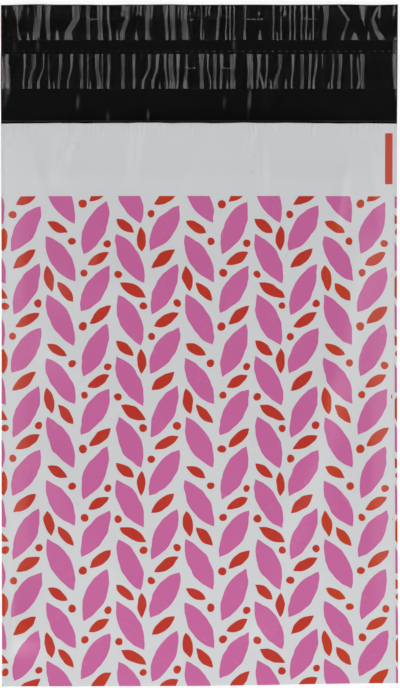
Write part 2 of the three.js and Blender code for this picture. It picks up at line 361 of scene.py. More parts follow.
# Lift of the flap off the floor, which grows towards its free edge
def flap_lift(x, y):
    grow = smooth(MOUTH_Y + 6, FLAP_EDGE_Y + 14, y)
    wave = 0.75 + FLAP_WAVE * waves(x, 0.0 * y, 21, 46, 120)
    buckle = FLAP_BUCKLE * waves(x, 0.12 * y, 22, 9, 26)
    inside = smooth(HALF_WIDTH, HALF_WIDTH - 22, np.abs(x))
    ends = 0.55 + 0.45 * inside
    lift = grow * (FLAP_LIFT * np.clip(wave, 0.1, None) * ends + buckle * inside)
    left_span = smooth(MOUTH_Y + 0.2, MOUTH_Y + 9, y) * smooth(TEAR_Y + 2, TEAR_Y - 3, y)
    left_span = left_span * (0.80 + 0.20 * smooth(MOUTH_Y + 14, MOUTH_Y + 22, y))
    right_span = smooth(MOUTH_Y + 2, MOUTH_Y + 20, y) * smooth(TEAR_Y + 14, TEAR_Y + 6, y)
    left_start = LEFT_ROLL[0] - 5.0 * smooth(MOUTH_Y + 22, MOUTH_Y + 3, y)
    left_start = left_start - 2.6 * smooth(MOUTH_Y + 22, TEAR_Y, y)
    lift = lift + LEFT_ROLL[1] * np.clip(left_start - x, 0, None) * left_span
    right_start = RIGHT_ROLL[0] + 1.6 * smooth(TEAR_Y - 4, MOUTH_Y + 8, y)
    lift = lift + RIGHT_ROLL[1] * np.clip(x - right_start, 0, None) * right_span
    for at, low, high, wide, rise in FILM_PULLS:
        span = smooth(low - 4, low + 3, y) * smooth(high + 4, high - 3, y)
        off = x - at - 0.05 * (y - low)
        lift = lift + rise * span * smooth(-wide / 2, wide / 2, off) * smooth(16.0, wide / 2, off)
    return np.clip(lift, 0.0, None)


# The web is a little off square, as cut, and the last value is the waver of the mouth's edge
def out_of_square(x, y):
    places, left, right = np.array(CUT_SIDES).T
    low = np.interp(y, places, left)
    high = np.interp(y, places, right)
    moved_x = x + (low + HALF_WIDTH) * np.clip(-x / HALF_WIDTH, 0, 1)
    moved_x = moved_x + (high - HALF_WIDTH) * np.clip(x / HALF_WIDTH, 0, 1)
    near_fold = smooth(FOLD_Y + 90, FOLD_Y, y)
    slant = FOLD_SLANT[0] * smooth(-10, HALF_WIDTH, x) + FOLD_SLANT[1] * smooth(20, -HALF_WIDTH, x)
    near_edge = smooth(FLAP_EDGE_Y - 8, FLAP_EDGE_Y, y)
    edge = FLAP_EDGE_WAVER * waves(x, 0.0 * y, 31, 14, 60)
    near_mouth = smooth(MOUTH_Y - 7, MOUTH_Y, y) * smooth(MOUTH_Y + 0.02, MOUTH_Y + 0.01, y)
    mouth = MOUTH_WAVER * waves(x, 0.0 * y, 32, 7, 34)
    mouth = mouth * smooth(CAVITY_END - 0.1, CAVITY_END - 12, np.abs(x))
    return moved_x, y + slant * near_fold + edge * near_edge, near_mouth * mouth


# Places across the web, with one station at each end and the middle of every slit
def stations_across():
    places = []
    for k in range(SLIT_COUNT):
        middle = (k - (SLIT_COUNT - 1) / 2) * SLIT_PITCH
        places += [middle - SLIT_LENGTH / 2, middle, middle + SLIT_LENGTH / 2]
    places += SIDE_STATIONS
    places += [-p for p in SIDE_STATIONS]
    return np.array(sorted(places))


# A shaded mesh object from points in millimetres, with its material slots and maps
def object_from(name, points, faces, slots, corner_maps, smooth_angle):
    mesh = bpy.data.meshes.new(name)
    mesh.from_pydata([tuple(p) for p in points * MM], [], faces)
    mesh.polygons.foreach_set("material_index", np.array(slots, dtype=np.int32))
    for map_name, values in corner_maps.items():
        layer = mesh.uv_layers.new(name=map_name)
        layer.data.foreach_set("uv", np.array(values, dtype=np.float32).ravel())
    mesh.update()
    bm = bmesh.new()
    bm.from_mesh(mesh)
    bmesh.ops.recalc_face_normals(bm, faces=bm.faces)
    bm.to_mesh(mesh)
    bm.free()
    mesh.polygons.foreach_set("use_smooth", np.ones(len(mesh.polygons), dtype=bool))
    mesh.set_sharp_from_angle(angle=math.radians(smooth_angle))
    made = bpy.data.objects.new(name, mesh)
    bpy.context.scene.collection.objects.link(made)
    return made


# The web of film: back panel and flap, nose of the fold and front panel, welded at both sides
def build_web():
    x = stations_across()
    nx = len(x)
    slit_low = TEAR_Y - SLIT_EDGE
    slit_high = TEAR_Y + SLIT_EDGE
    flap_y = list(np.linspace(FLAP_EDGE_Y, TEAR_Y + 2.4, 12)) + [TEAR_Y + 0.8, slit_high, slit_low]
    flap_y += [TEAR_Y - 1.0] + list(np.linspace(TEAR_Y - 2.4, MOUTH_Y, 17))
    pouch_y = [MOUTH_Y - d for d in (0.5, 1.4, 2.8, 4.6, 6.8, 9.4)]
    pouch_y += list(np.linspace(MOUTH_Y - 12.4, FOLD_Y + 2.2, 96))
    sides = len(SIDE_STATIONS)
    in_slit = np.zeros(nx)
    in_slit[sides:nx - sides] = [k % 3 == 1 for k in range(nx - 2 * sides)]
    low_lip, high_lip = SLIT_LIPS
    lip_height = low_lip + (high_lip - low_lip) * smooth(-30, 10, x)
    lips = np.random.default_rng(41).uniform(0.35, 1.0, nx) * lip_height
    slit_overlap = {slit_low: SLIT_EDGE + SLIT_OVERLAP, slit_high: -SLIT_EDGE - SLIT_OVERLAP}
    outer = []
    inner = []
    web = []
    for y in flap_y + pouch_y:
        lift = flap_lift(x, y)
        raised = lift + in_slit * lips * (y == slit_low)
        placed = y + slit_overlap.get(y, 0.0) * in_slit
        outer.append(np.stack([x, placed, raised], 1))
        inner.append(np.stack([x, placed, raised + GAUGE], 1))
        web.append(FOLD_Y - y)
    for k in range(1, NOSE_STEPS + 1):
        turn = -math.pi / 2 - math.pi * k / (NOSE_STEPS + 1)
        radius = height_at(x, CROWN_POINTS[0][1]) / 2
        reach = np.clip(radius - GAUGE, 0.0, None)
        outer_y = FOLD_Y + radius * (1 + math.cos(turn))
        outer_z = radius * (1 + math.sin(turn))
        inner_y = FOLD_Y + radius + reach * math.cos(turn)
        inner_z = radius + reach * math.sin(turn)
        outer.append(np.stack([x, outer_y, outer_z], 1))
        inner.append(np.stack([x, inner_y, inner_z], 1))
        web.append(-NOSE_HALF + 2 * NOSE_HALF * k / (NOSE_STEPS + 1))
    for y in pouch_y[::-1] + [MOUTH_Y]:
        crown = np.interp(y, CROWN_Y, CROWN_Z)
        z = height_at(x, crown) + front_relief(x, np.full(nx, y))
        outer.append(np.stack([x, np.full(nx, y), z], 1))
        inner.append(np.stack([x, np.full(nx, y), z - GAUGE], 1))
        web.append(y - FOLD_Y)
    rows = len(outer)
    last_flap = len(flap_y) - 1
    last_back = len(flap_y) + len(pouch_y) - 1
    first_front = last_back + NOSE_STEPS + 1
    points = np.concatenate([np.array(outer).reshape(-1, 3), np.array(inner).reshape(-1, 3)])
    moved_x, moved_y, mouth_move = out_of_square(points[:, 0], points[:, 1])
    on_front = np.tile(np.repeat(np.arange(rows) >= first_front, nx), 2)
    map_x = points[:, 0].copy()
    points[:, 0] = moved_x
    points[:, 1] = moved_y + mouth_move * on_front
    web = np.array(web)

    # Both inner faces meet in one line at the root of the weld
    inside = np.where(np.abs(x) <= CAVITY_END + 1e-6)[0]
    low_col = inside[0]
    high_col = inside[-1]
    target = np.arange(2 * rows * nx)
    for r in range(last_back + 1, rows):
        twin = last_back if r < first_front else last_back - (r - first_front)
        for col in (low_col, high_col):
            target[rows * nx + r * nx + col] = rows * nx + twin * nx + col

    # Number of a point on the outer face of the film
    def out(r, c):
        return r * nx + c

    # Number of a point on the inner face of the film
    def inn(r, c):
        return int(target[rows * nx + r * nx + c])

    faces = []
    slots = []

    # Add a face without its repeated points, if it still has three
    def add(face, slot):
        kept = [v for i, v in enumerate(face) if v != face[i - 1]]
        if len(kept) >= 3:
            faces.append(kept)
            slots.append(slot)

    slit_row = flap_y.index(slit_high)
    open_cells = {c for c in range(sides, nx - sides - 1) if (c - sides) % 3 != 2}
    for r in range(rows - 1):
        in_flap = r < last_flap
        for c in range(nx - 1):
            if r == slit_row and c in open_cells:
                add([out(r, c), out(r, c + 1), inn(r, c + 1), inn(r, c)], 1)
                add([out(r + 1, c), out(r + 1, c + 1), inn(r + 1, c + 1), inn(r + 1, c)], 1)
                if c - 1 not in open_cells:
                    add([out(r, c), out(r + 1, c), inn(r + 1, c), inn(r, c)], 1)
                if c + 1 not in open_cells:
                    add([out(r, c + 1), out(r + 1, c + 1), inn(r + 1, c + 1), inn(r, c + 1)], 1)
                continue
            add([out(r, c), out(r, c + 1), out(r + 1, c + 1), out(r + 1, c)], 0)
            if in_flap or low_col <= c < high_col:
                add([inn(r, c), inn(r, c + 1), inn(r + 1, c + 1), inn(r + 1, c)], 1)

    # Free edge and sides of the flap
    for c in range(nx - 1):
        add([out(0, c), out(0, c + 1), inn(0, c + 1), inn(0, c)], 1)
    for c in (0, nx - 1):
        for r in range(last_flap):
            add([out(r, c), out(r + 1, c), inn(r + 1, c), inn(r, c)], 1)

    # Cut edge of the mouth, down to the flap where the layers are welded
    top = rows - 1
    for c in range(nx - 1):
        if low_col <= c < high_col:
            add([out(top, c), out(top, c + 1), inn(top, c + 1), inn(top, c)], 1)
        else:
            add([out(top, c), out(top, c + 1), inn(last_flap, c + 1), inn(last_flap, c)], 0)

    # Cut edge of the side welds and of the nose
    for c in (0, nx - 1):
        corner = [out(last_flap, c), inn(last_flap, c), out(top, c), out(top - 1, c)]
        add(corner + [out(last_flap + 1, c)], 0)
        for k in range(1, len(pouch_y)):
            back = last_flap + k
            front = top - k
            add([out(back, c), out(back + 1, c), out(front - 1, c), out(front, c)], 0)
        add([out(r, c) for r in range(last_back, first_front + 1)], 0)

    # Drop what the welds made unused
    used = np.unique(np.concatenate([np.array(f) for f in faces]))
    renumber = np.full(2 * rows * nx, -1)
    renumber[used] = np.arange(len(used))
    faces = [[int(renumber[v]) for v in f] for f in faces]
    row_of = np.tile(np.repeat(np.arange(rows), nx), 2)[used]
    across = map_x[used]
    along = web[row_of]
    is_inner = used >= rows * nx
    corners = np.concatenate([np.array(f) for f in faces])
    web_map = np.stack([across[corners] * MM, along[corners] * MM], 1)
    length = web.max() - web.min()
    atlas_u = ATLAS_MARGIN + ATLAS_WIDTH * (across + HALF_WIDTH) / (2 * HALF_WIDTH)
    atlas_u = atlas_u + np.where(is_inner, ATLAS_SECOND, 0.0)
    atlas_v = ATLAS_MARGIN + (1 - 2 * ATLAS_MARGIN) * (along - web.min()) / length
    atlas = np.stack([atlas_u[corners], atlas_v[corners]], 1)
    maps = {"web": web_map, "OFBake": atlas}
    return object_from("pouch_film_web", points[used], faces, slots, maps, 15)


# A closed thin strip on the flap, from its lower and upper heights
def build_strip(name, grid_x, grid_y, under, over, slot_of_row, smooth_angle):
    ny, nx = grid_x.shape
    moved_x = out_of_square(grid_x, grid_y)[0]
    top = np.stack([moved_x, grid_y, over], 2).reshape(-1, 3)
    low = np.stack([moved_x, grid_y, under], 2).reshape(-1, 3)
    points = np.concatenate([top, low])
    n = nx * ny
    faces = []
    slots = []
    for r in range(ny - 1):
        for c in range(nx - 1):
            a = r * nx + c
            faces.append((a, a + 1, a + nx + 1, a + nx))
            faces.append((n + a, n + a + nx, n + a + nx + 1, n + a + 1))
            slots += [slot_of_row[r], slot_of_row[r]]
    for c in range(nx - 1):
        for a in (c, (ny - 1) * nx + c):
            faces.append((a, a + 1, n + a + 1, n + a))
            slots.append(0)
    for r in range(ny - 1):
        for a in (r * nx, r * nx + nx - 1):
            faces.append((a, a + nx, n + a + nx, n + a))
            slots.append(0)
    corners = np.array(faces).ravel()
    place = np.concatenate([np.stack([grid_x, grid_y], 2).reshape(-1, 2)] * 2) * MM
    return object_from(name, points, faces, slots, {"place": place[corners]}, smooth_angle)


# Foot, crest, far foot and height of a pucker, one value for each row of the liner
def pucker_lines(mid, wide, slope, steep, side):
    wide = np.clip(wide, 0.0, None)
    foot = mid - side * wide / 2
    crest = mid + side * wide / 2
    return foot, crest, crest + side * wide * slope / steep, wide * slope


# Height of a pucker at x: a straight rise to the crest and a steep fall behind it
def tent(x, foot, crest, far, high):
    flat = np.abs(crest - foot) < 1e-6
    rising = (x - foot) / np.where(flat, 1.0, crest - foot)
    falling = (far - x) / np.where(flat, 1.0, far - crest)
    return np.where(flat, 0.0, high * np.clip(np.minimum(rising, falling), 0.0, 1.0))


# Columns of the liner follow its puckers, so that every crest is one clean fold
def columns_along(lines, rows):
    ends = [np.full(rows, -STRIP_END), np.full(rows, STRIP_END)]
    ordered = sorted(lines, key=lambda line: float(np.mean(line)))
    placed = np.array([ends[0]] + ordered + [ends[1]])
    for k in range(1, len(placed)):
        placed[k] = np.maximum(placed[k], placed[k - 1] + COLUMN_GAP)
    placed[-1] = STRIP_END
    for k in range(len(placed) - 2, -1, -1):
        placed[k] = np.minimum(placed[k], placed[k + 1] - COLUMN_GAP)
    placed[0] = -STRIP_END
    columns = []
    for left, right in zip(placed, placed[1:]):
        parts = max(1, int(math.ceil(float(np.mean(right - left)) / COLUMN_WIDTH)))
        for k in range(parts):
            columns.append(left + (right - left) * k / parts)
    columns.append(placed[-1])
    return np.array(columns).T


# One release liner, tented along its puckers
def build_liner(name, low_y, puckers, bent, short, narrow, slack_above, seed):
    draw = np.random.default_rng(seed)
    glue_high = 1 - LINER_DRY_EDGE / LINER_WIDTH
    glue_low = glue_high - GLUE_WIDTH / LINER_WIDTH
    below = glue_low - BEND_SHARE
    above = glue_high + BEND_SHARE
    shares = list(np.linspace(0, below, 7)) + list(np.linspace(glue_low, glue_high, 7))
    shares = np.array(shares + list(np.linspace(above, 1, 8)))
    bends = (0.0, below, above, 1.0)
    on_glue = (shares > glue_low - BEND_SHARE / 2) & (shares < glue_high + BEND_SHARE / 2)
    tents = []
    grooves = []
    for top_x, low_x, top_w, low_w in puckers:
        slope = draw.uniform(*PUCKER_SLOPES)
        side = draw.choice((-1.0, 1.0))
        steep = draw.uniform(*PUCKER_STEEP)
        held = draw.uniform(0.86, 1.0)
        kinks = (low_x, low_x + draw.uniform(-0.3, 0.3), top_x + draw.uniform(-0.3, 0.3), top_x)
        spread = (draw.uniform(0.82, 1.05), 0.84, 0.84, draw.uniform(0.95, 1.15))
        wide = np.interp(shares, (0.0, 1.0), (low_w, top_w)) * np.interp(shares, bends, spread)
        mid = np.interp(shares, bends, kinks)
        slopes = slope * np.where(on_glue, held, 1.0)
        tents.append(pucker_lines(mid, narrow * wide - 0.15, slopes, steep, side))
        if min(top_w, low_w) > GROOVED_FROM:
            for share in (draw.uniform(0.25, 0.45), draw.uniform(0.55, 0.8)):
                foot, crest = tents[-1][:2]
                grooves.append(foot + share * (crest - foot))
    for place in bent:
        mid = np.interp(shares, bends, place[0::2])
        wide = np.interp(shares, bends, place[1::2])
        tents.append(pucker_lines(mid, wide, BENT_SLOPE, 4.0, 1.0))
    for at, width in short:
        reach = glue_low * draw.uniform(0.8, 1.3)
        wide = width * np.clip(1 - shares / reach, 0, 1) ** 0.6
        mid = at + draw.uniform(-1.2, 1.2) * shares
        side = draw.choice((-1.0, 1.0))
        tents.append(pucker_lines(mid, wide, BENT_SLOPE, 3.0, side))
    lines = [line for lines in tents for line in lines[:3]]
    lines += [groove + off for groove in grooves for off in (-GROOVE_HALF, 0.0, GROOVE_HALF)]
    grid_x = columns_along(lines, len(shares))
    grid_y = np.repeat((low_y + LINER_WIDTH * shares)[:, None], grid_x.shape[1], 1)
    share = (grid_y - low_y) / LINER_WIDTH
    rise = np.zeros(grid_x.shape)
    for foot, crest, far, high in tents:
        raised = tent(grid_x, foot[:, None], crest[:, None], far[:, None], high[:, None])
        rise = np.maximum(rise, raised)
    for groove in grooves:
        off = np.abs(grid_x - groove[:, None]) / GROOVE_HALF
        rise = rise - GROOVE_DEPTH * np.clip(1 - off, 0, 1)
    slack = LINER_SLACK + slack_above * smooth(glue_high, glue_high + 0.15, share)
    rise = rise + slack * (1.0 + waves(grid_x, 0.1 * grid_y, seed + 2, 2.5, 7))
    blister = smooth(0.1, 0.7, waves(grid_x, 0.0 * grid_y, seed + 6, 14, 60))
    past_glue = np.interp(share, (glue_high, above, glue_high + 0.12), (0.0, 1.0, 0.0))
    rise = rise + BLISTER_HEIGHT * blister * past_glue
    edge = np.clip(share - 0.93, 0, None) + np.clip(0.05 - share, 0, None)
    rise = rise + 0.5 * edge * (1.2 + waves(grid_x, 0.0 * grid_y, seed + 3, 10, 40))
    sunk = 0.055 * np.clip(0.4 + waves(grid_x, 0.0 * grid_y, seed + 4, 16, 60), 0, 1)
    seat = GLUE_GAUGE + 0.004 - np.where(on_glue[:, None], 0.0, sunk)
    under = flap_lift(grid_x, grid_y) + GAUGE + seat + np.clip(rise, 0, None)
    middles = [(a + b) / 2 for a, b in zip(shares, shares[1:])]
    slots = [1 if glue_low <= m <= glue_high else 0 for m in middles]
    return build_strip(name, grid_x, grid_y, under, under + LINER_GAUGE, slots, 6)


# One stripe of hot-melt glue with soft uneven edges
def build_glue(name, liner_y, seed):
    high_y = liner_y + LINER_WIDTH - LINER_DRY_EDGE
    low_y = high_y - GLUE_WIDTH
    xs = np.linspace(-STRIP_END, STRIP_END, 320)
    shares = np.array((0.0, 0.02, 0.06, 0.2, 0.4, 0.6, 0.8, 0.94, 0.98, 1.0))
    ys = low_y + (high_y - low_y) * shares
    grid_x, grid_y = np.meshgrid(xs, ys)
    round_off = np.sqrt(np.clip(1 - (2 * np.abs(shares - 0.5)) ** 14, 0, 1))[:, None]
    fill = round_off * (0.86 + 0.09 * waves(grid_x, grid_y, seed, 5, 30))
    thick = np.clip(GLUE_EDGE + (GLUE_GAUGE - 0.012) * fill, GLUE_EDGE, GLUE_GAUGE)
    base = flap_lift(grid_x, grid_y) + GAUGE
    return build_strip(name, grid_x, grid_y, base, base + thick, [0] * (len(ys) - 1), 60)


# Materials


# Makes a material's nodes in few words
class Tree:
    def __init__(self, material):
        material.use_nodes = True
        self.nodes = material.node_tree.nodes
        self.links = material.node_tree.links
        self.shader = self.nodes["Principled BSDF"]

    # A new node with these inputs and settings
    def node(self, kind, inputs=None, **settings):
        made = self.nodes.new(kind)
        for key, value in settings.items():
            setattr(made, key, value)
        for key, value in (inputs or {}).items():
            self.put(made.inputs[key], value)
        return made

    # Link a socket to another one, or give it a plain value
    def put(self, socket, value):
        if isinstance(value, bpy.types.NodeSocket):
            self.links.new(value, socket)
        else:
            socket.default_value = value

    # Set or link one of the shader's own sockets
    def shade(self, name, value):
        self.put(self.shader.inputs[name], value)

    def math(self, kind, a, b=0.0):
        return self.node("ShaderNodeMath", {0: a, 1: b}, operation=kind).outputs[0]

    def scaled(self, value, factor):
        ports = {0: value, "Scale": factor}
        return self.node("ShaderNodeVectorMath", ports, operation="SCALE").outputs[0]

    # Place on the film in millimetres, from one of the mesh's maps
    def place(self, map_name):
        return self.scaled(self.node("ShaderNodeUVMap", uv_map=map_name).outputs["UV"], 1 / MM)

    def vector(self, kind, a, b=(0, 0, 0), c=(0, 0, 0)):
        made = self.node("ShaderNodeVectorMath", {0: a, 1: b, 2: c}, operation=kind)
        return made.outputs["Value"] if kind == "LENGTH" else made.outputs["Vector"]

    # Straight ramp from one pair of values to another, held at both ends
    def ramp(self, value, low, high, to_low=0.0, to_high=1.0):
        ports = {"Value": value, "From Min": low, "From Max": high, "To Min": to_low, "To Max": to_high}
        return self.node("ShaderNodeMapRange", ports, clamp=True).outputs["Result"]

    def mix(self, share, a, b):
        made = self.node("ShaderNodeMix", data_type="RGBA")
        self.put(made.inputs[0], share)
        self.put(made.inputs[6], a)
        self.put(made.inputs[7], b)
        return made.outputs[2]

    def noise(self, place, scale, detail=2.0, rough=0.5):
        ports = {"Vector": place, "Scale": scale, "Detail": detail, "Roughness": rough}
        return self.node("ShaderNodeTexNoise", ports).outputs["Fac"]

    # Relief in the shading, from a height and its scale in metres
    def bump(self, height, distance):
        ports = {"Height": height, "Distance": distance, "Strength": 0.5}
        return self.node("ShaderNodeBump", ports).outputs[0]


# A colour as the sockets take it
def colour(rgb):
    return (rgb[0], rgb[1], rgb[2], 1.0)


# A new material and its nodes
def finish_material(name, roughness, ior):
    material = bpy.data.materials.new(name)
    tree = Tree(material)
    tree.shade("IOR", ior)
    tree.shade("Roughness", roughness)
    return material, tree


# Distance to a pointed leaf, or to a dot where the length is its diameter
def leaf_distance(tree, place, x, y, turn, length, width):
    away = tree.vector("SUBTRACT", place, (x, y, 0))
    half = (TILE[0] / 2, TILE[1] / 2, 1.0)
    wrapped = tree.vector("WRAP", away, half, (-half[0], -half[1], -1.0))
    if length == width:
        return tree.math("SUBTRACT", tree.vector("LENGTH", wrapped), length / 2)
    radius = (length * length / 4 + width * width / 4) / width
    ports = {"Vector": wrapped, "Angle": -math.radians(turn)}
    turned = tree.node("ShaderNodeVectorRotate", ports, rotation_type="Z_AXIS").outputs[0]
    folded = tree.vector("ABSOLUTE", turned)
    shifted = tree.vector("ADD", folded, (radius - width / 2, 0, 0))
    return tree.math("SUBTRACT", tree.vector("LENGTH", shifted), radius)


# Smallest of several distances
def nearest(tree, distances):
    found = distances[0]
    for other in distances[1:]:
        found = tree.math("MINIMUM", found, other)
    return found


# Outside of the film: pale ground with the generic leaf print
def printed_film():
    material, tree = finish_material("film_outside_print", 0.30, 1.45)
    place = tree.place("web")
    split = tree.node("ShaderNodeSeparateXYZ", {0: place})
    across = split.outputs[0]
    along = split.outputs[1]

    # Press wander of the motif edges
    drift = tree.node("ShaderNodeTexNoise", {"Vector": place, "Scale": 0.11, "Detail": 1.0})
    wander = tree.scaled(tree.vector("SUBTRACT", drift.outputs["Color"], (0.5, 0.5, 0.5)), 2.2)
    past_seam = tree.math("GREATER_THAN", across, NEXT_REPEAT_X)
    jump_x = tree.math("MULTIPLY", past_seam, NEXT_REPEAT_JUMP[0])
    jump_y = tree.math("MULTIPLY", past_seam, NEXT_REPEAT_JUMP[1])
    jump = tree.node("ShaderNodeCombineXYZ", {0: jump_x, 1: jump_y}).outputs[0]
    motif_place = tree.vector("ADD", tree.vector("ADD", place, wander), jump)
    pink = nearest(tree, [leaf_distance(tree, motif_place, *leaf) for leaf in PINK_LEAVES])
    reds = [leaf_distance(tree, motif_place, *leaf) for leaf in RED_LEAVES]
    reds += [leaf_distance(tree, motif_place, x, y, 0, 2 * r, 2 * r) for x, y, r in RED_DOTS]
    red = nearest(tree, reds)
    pink = tree.ramp(pink, 0.10, -0.10)
    red = tree.ramp(red, 0.10, -0.10)

    # Where the print stops: a straight top edge, and a bare seam near the right side
    cut_wave = tree.math("MULTIPLY", tree.noise(place, 0.35), 0.3)
    cut = tree.math("ADD", along, cut_wave)
    printed = tree.ramp(cut, PRINT_TOP_Y - FOLD_Y + 0.25, PRINT_TOP_Y - FOLD_Y + 0.05)
    before_seam = tree.ramp(across, PRINT_RIGHT_X + 0.1, PRINT_RIGHT_X - 0.1)
    inked = tree.math("MULTIPLY", printed, tree.math("MAXIMUM", before_seam, past_seam))

    # Registration mark on the bare band
    from_left = tree.ramp(across, EYE_MARK[0] - 0.1, EYE_MARK[0] + 0.1)
    to_right = tree.ramp(across, EYE_MARK[1] + 0.1, EYE_MARK[1] - 0.1)
    mark = tree.math("MULTIPLY", from_left, to_right)
    low = EYE_MARK[2] - FOLD_Y
    high = EYE_MARK[3] - FOLD_Y
    mark = tree.math("MULTIPLY", mark, tree.ramp(along, low - 0.1, low + 0.1))
    mark = tree.math("MULTIPLY", mark, tree.ramp(along, high + 0.1, high - 0.1))

    # Ink laid a little unevenly, and red that turns to orange at both sides
    cloud = tree.noise(place, 0.012, 3.0)
    grain = tree.noise(place, 1.6, 3.0, 0.6)
    coarse = tree.ramp(cloud, 0.3, 0.7, 0.0, 0.7)
    uneven = tree.math("ADD", coarse, tree.ramp(grain, 0.2, 0.8, 0.0, 0.3))
    warm = tree.math("MAXIMUM", tree.ramp(across, 72.5, 77.5), tree.ramp(across, -104.0, -109.0))
    thin = tree.ramp(tree.noise(place, 0.045, 2.0), 0.55, 0.66, 0.0, 0.85)
    warm = tree.math("MAXIMUM", warm, thin)
    red_ink = tree.mix(warm, colour(RED), colour(ORANGE_RED))
    red_ink = tree.mix(tree.math("MULTIPLY", uneven, 0.16), red_ink, colour(THIN_RED))
    pink_ink = tree.mix(tree.math("MULTIPLY", uneven, 0.20), colour(PINK), colour(THIN_PINK))
    ground = tree.mix(uneven, colour(GROUND), colour(PALE_GROUND))
    shown = tree.mix(tree.math("MULTIPLY", pink, inked), ground, pink_ink)
    shown = tree.mix(tree.math("MULTIPLY", red, inked), shown, red_ink)
    shown = tree.mix(mark, shown, red_ink)
    tree.shade("Base Color", shown)

    # Cast film: die lines along the web, fine orange peel, ink a little smoother than bare film
    die_lines = tree.noise(tree.vector("MULTIPLY", place, (0.9, 0.012, 0.0)), 1.0, 3.0)
    peel = tree.noise(place, 0.9, 3.0, 0.6)
    any_ink = tree.math("MULTIPLY", tree.math("MAXIMUM", pink, red), inked)
    peel = tree.math("MULTIPLY", peel, 0.45)
    relief = tree.math("ADD", tree.math("MULTIPLY", die_lines, 0.55), peel)
    relief = tree.math("ADD", relief, tree.math("MULTIPLY", any_ink, 0.12))

    # Short ripples just under the mouth
    tick = tree.noise(tree.vector("MULTIPLY", place, (0.34, 0.03, 0.0)), 1.0, 1.0)
    tick = tree.ramp(tick, 0.52, 0.72)
    near_mouth = tree.ramp(along, MOUTH_Y - FOLD_Y - 9.0, MOUTH_Y - FOLD_Y - 1.0)
    tick = tree.math("MULTIPLY", tree.math("MULTIPLY", tick, near_mouth), 44.0)
    tree.shade("Normal", tree.bump(tree.math("ADD", relief, tick), 0.00003))
    rough = tree.ramp(tree.noise(place, 0.05, 3.0), 0.3, 0.7, 0.27, 0.34)
    rough = tree.math("SUBTRACT", rough, tree.math("MULTIPLY", any_ink, 0.05))
    tree.shade("Roughness", rough)
    return material


# Inside of the film: glossy carbon black
def black_film():
    material, tree = finish_material("film_inside_black", 0.24, 1.5)
    place = tree.place("web")
    split = tree.node("ShaderNodeSeparateXYZ", {0: place})
    across = split.outputs[0]
    along = split.outputs[1]
    cloud = tree.noise(place, 0.03, 4.0)
    dust = tree.ramp(tree.noise(place, 2.2, 2.0), 0.78, 0.84)
    base = tree.mix(cloud, colour(BLACK_FILM), colour(WORN_BLACK))
    base = tree.mix(tree.math("MULTIPLY", dust, 0.05), base, colour(DUST_AND_HIGHLIGHT_GREY))

    # Painted highlight round each slit, where the raised lips catch the light, more of it to the right
    from_slit = tree.math("DIVIDE", tree.math("PINGPONG", across, SLIT_PITCH / 2), 1.35)
    from_tear = tree.math("DIVIDE", tree.math("ADD", along, TEAR_Y - FOLD_Y), 0.62)
    slit_round = tree.node("ShaderNodeCombineXYZ", {0: from_slit, 1: from_tear}).outputs[0]
    slit_highlight = tree.ramp(tree.vector("LENGTH", slit_round), 1.0, 0.35)
    highlight_share = tree.noise(tree.vector("MULTIPLY", place, (0.19, 0.0, 0.0)), 1.0, 1.0)
    highlight_share = tree.ramp(highlight_share, 0.38, 0.66, 0.15, 1.0)
    highlight_share = tree.math("MULTIPLY", highlight_share, tree.ramp(across, -40.0, 20.0, 0.3, 1.0))
    slit_highlight = tree.math("MULTIPLY", slit_highlight, highlight_share)
    base = tree.mix(tree.math("MULTIPLY", slit_highlight, 0.50), base, colour(DUST_AND_HIGHLIGHT_GREY))

    # Painted reflection: a pale line across the black film just above the mouth, patchy along its length
    from_reflection_line = tree.math("ABSOLUTE", tree.math("ADD", along, REFLECTION_LINE_Y - FOLD_Y))
    strength = tree.ramp(cloud, 0.35, 0.6, 0.25, 1.0)
    mark = tree.math("MULTIPLY", tree.ramp(from_reflection_line, 0.45, 0.15), strength)
    base = tree.mix(tree.math("MULTIPLY", mark, 0.34), base, colour(DUST_AND_HIGHLIGHT_GREY))
    tree.shade("Base Color", base)

    # Die lines and faint pulls along the web
    die_lines = tree.noise(tree.vector("MULTIPLY", place, (0.55, 0.010, 0.0)), 1.0, 3.0)
    pull = tree.noise(tree.vector("MULTIPLY", place, (0.16, 0.035, 0.0)), 1.0, 1.0)
    pull = tree.math("MULTIPLY", tree.ramp(pull, 0.60, 0.76), 0.5)
    relief = tree.math("ADD", tree.math("MULTIPLY", die_lines, 0.05), pull)
    tree.shade("Normal", tree.bump(relief, 0.0002))
    tree.shade("Roughness", tree.ramp(tree.noise(place, 0.08, 3.0), 0.3, 0.7, 0.15, 0.21))
    return material


# Clear silicone-coated release film: too thin to bend light, so all of its gloss is the coat's
def liner_film(name, gloss_roughness, gloss_ior):
    material, tree = finish_material(name, 0.29, 1.01)
    place = tree.place("place")
    cloud = tree.noise(place, 0.12, 3.0)
    tree.shade("Base Color", tree.mix(cloud, colour(LINER_TINTS[0]), colour(LINER_TINTS[1])))
    tree.shade("Transmission Weight", 1.0)
    tree.shade("Coat Weight", 1.0)
    tree.shade("Coat Roughness", gloss_roughness)
    tree.shade("Coat IOR", gloss_ior)
    crinkle = tree.noise(tree.vector("MULTIPLY", place, (1.1, 0.16, 0.0)), 1.0, 3.0, 0.55)
    tree.shade("Coat Normal", tree.bump(crinkle, 0.00001))
    return material


